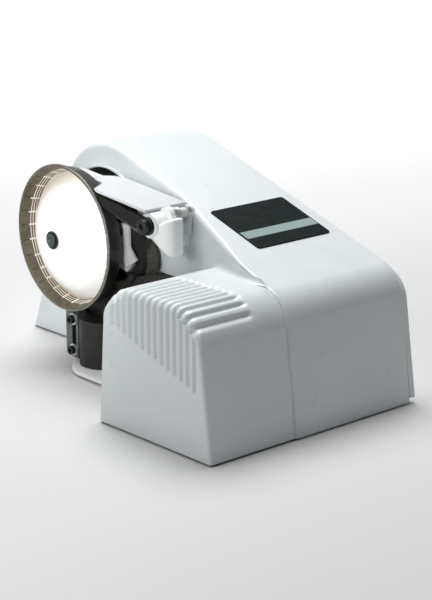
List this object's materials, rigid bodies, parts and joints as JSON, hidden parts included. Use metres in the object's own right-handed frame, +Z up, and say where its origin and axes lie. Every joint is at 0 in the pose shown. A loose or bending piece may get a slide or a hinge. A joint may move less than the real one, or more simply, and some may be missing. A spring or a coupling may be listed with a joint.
{
  "type": "slab saw",
  "caption": "Bench lapidary machine: white sloped hood and ribbed cover, open dished wheel on a belt-driven spindle, tilting table plate above the wheel, black drive housing on a pedestal",
  "frame": {"origin": "centre of the machine's footprint, on the floor under the rubber feet", "axes": "+X to the operator's right along the spindle, +Y away from the operator along the machine's length, +Z up"},
  "size_m": [0.2696, 0.4632, 0.2291],
  "materials": {
    "white_paint": "smooth, slightly glossy cool white paint",
    "plate_white": "smooth satin white enamel",
    "base_grey": "satin light grey paint",
    "black_casting": "satin black over a cast surface",
    "black_plastic": "fine matte grain",
    "red_plastic": "gloss",
    "plate_dark": "dark green-black print with one pale stripe, satin",
    "olive_steel": "oiled olive-dark steel",
    "dark_steel": "blackened, satin",
    "bright_steel": "fine turned or brushed",
    "chrome_steel": "polished",
    "cast_alloy": "cast, matte",
    "wheel_black": "satin black with a bare grey lip",
    "bronze": "worn bronze with a ladder pattern near its inner edge",
    "ivory_face": "smooth, slightly satin",
    "rubber_black": "matte",
    "motor_blue": "satin",
    "copper_wind": "lacquered windings and shaft",
    "arm_dark": "satin black"
  },
  "bodies": {
    "machine": {"hood": "white_paint", "right_end_cover": "white_paint", "ribbed_front_cover": "white_paint", "base_plate": "base_grey", "rubber_feet": "rubber_black", "foot_screws": "bright_steel", "port_ring": "white_paint", "name_plate": "plate_dark", "pedestal": "black_casting", "pedestal_bolts": "bright_steel", "bracket_screws": "dark_steel", "bracket_washers": "bright_steel", "drive_housing": "black_casting", "flange_ring": "olive_steel", "clamp_lever": "chrome_steel", "lever_screw": "dark_steel", "front_bearing": "bright_steel", "rear_bearing": "bright_steel", "motor_shell": "motor_blue", "motor_left_cap": "cast_alloy", "motor_right_cap": "cast_alloy", "motor_bearings": "bright_steel", "motor_bracket": "cast_alloy", "drive_belt": "rubber_black", "hinge_bracket": "white_paint", "hinge_screws": "bright_steel", "pivot_screw": "dark_steel", "cross_rod": "chrome_steel", "torsion_spring": "bright_steel", "switch_bezel": "black_plastic", "power_inlet": "black_plastic", "inlet_pins": "bright_steel", "cover_screws": "bright_steel"},
    "spindle": {"spindle_shaft": "bright_steel", "spindle_pulley": "cast_alloy", "wheel_drum": "wheel_black", "rim_segments": "bronze", "wheel_face": "ivory_face", "hub_washer": "dark_steel", "hub_screw": "dark_steel"},
    "rotor": {"motor_rotor": "copper_wind", "motor_fan": "black_plastic", "motor_pulley": "cast_alloy", "drive_nut": "chrome_steel"},
    "table": {"table_plate": "plate_white", "plate_clips": "bright_steel", "rest_bar": "chrome_steel"},
    "arm": {"support_arm": "arm_dark", "arm_liner": "olive_steel"},
    "bracket": {"slide_bracket": "dark_steel"},
    "switch": {"rocker_switch": "red_plastic"}
  },
  "joints": [
    {"name": "spindle_spin", "type": "hinge", "parent": "machine", "child": "spindle", "pos_m": [0, 0.0934, 0.1382], "axis": [1, 0, 0], "continuous": true},
    {"name": "motor_spin", "type": "hinge", "parent": "machine", "child": "rotor", "pos_m": [0, 0.0308, 0.122], "axis": [1, 0, 0], "continuous": true},
    {"name": "table_tilt", "type": "hinge", "parent": "machine", "child": "table", "pos_m": [0, -0.0462, 0.1835], "axis": [1, 0, 0], "range_deg": [0, 60]},
    {"name": "arm_swing", "type": "hinge", "parent": "machine", "child": "arm", "pos_m": [0, -0.0382, 0.1745], "axis": [1, 0, 0], "range_deg": [0, 60]},
    {"name": "bracket_slide", "type": "slide", "parent": "machine", "child": "bracket", "axis": [0, 0, 1], "range_m": [-0.003, 0.003]},
    {"name": "switch_rock", "type": "hinge", "parent": "machine", "child": "switch", "pos_m": [0.127, -0.125, 0.065], "axis": [0, 1, 0], "range_deg": [-7, 7]}
  ],
  "couplings": [
    {"joint": "motor_spin", "follows": "spindle_spin", "ratio": 2},
    {"joint": "arm_swing", "follows": "table_tilt", "ratio": 1}
  ]
}
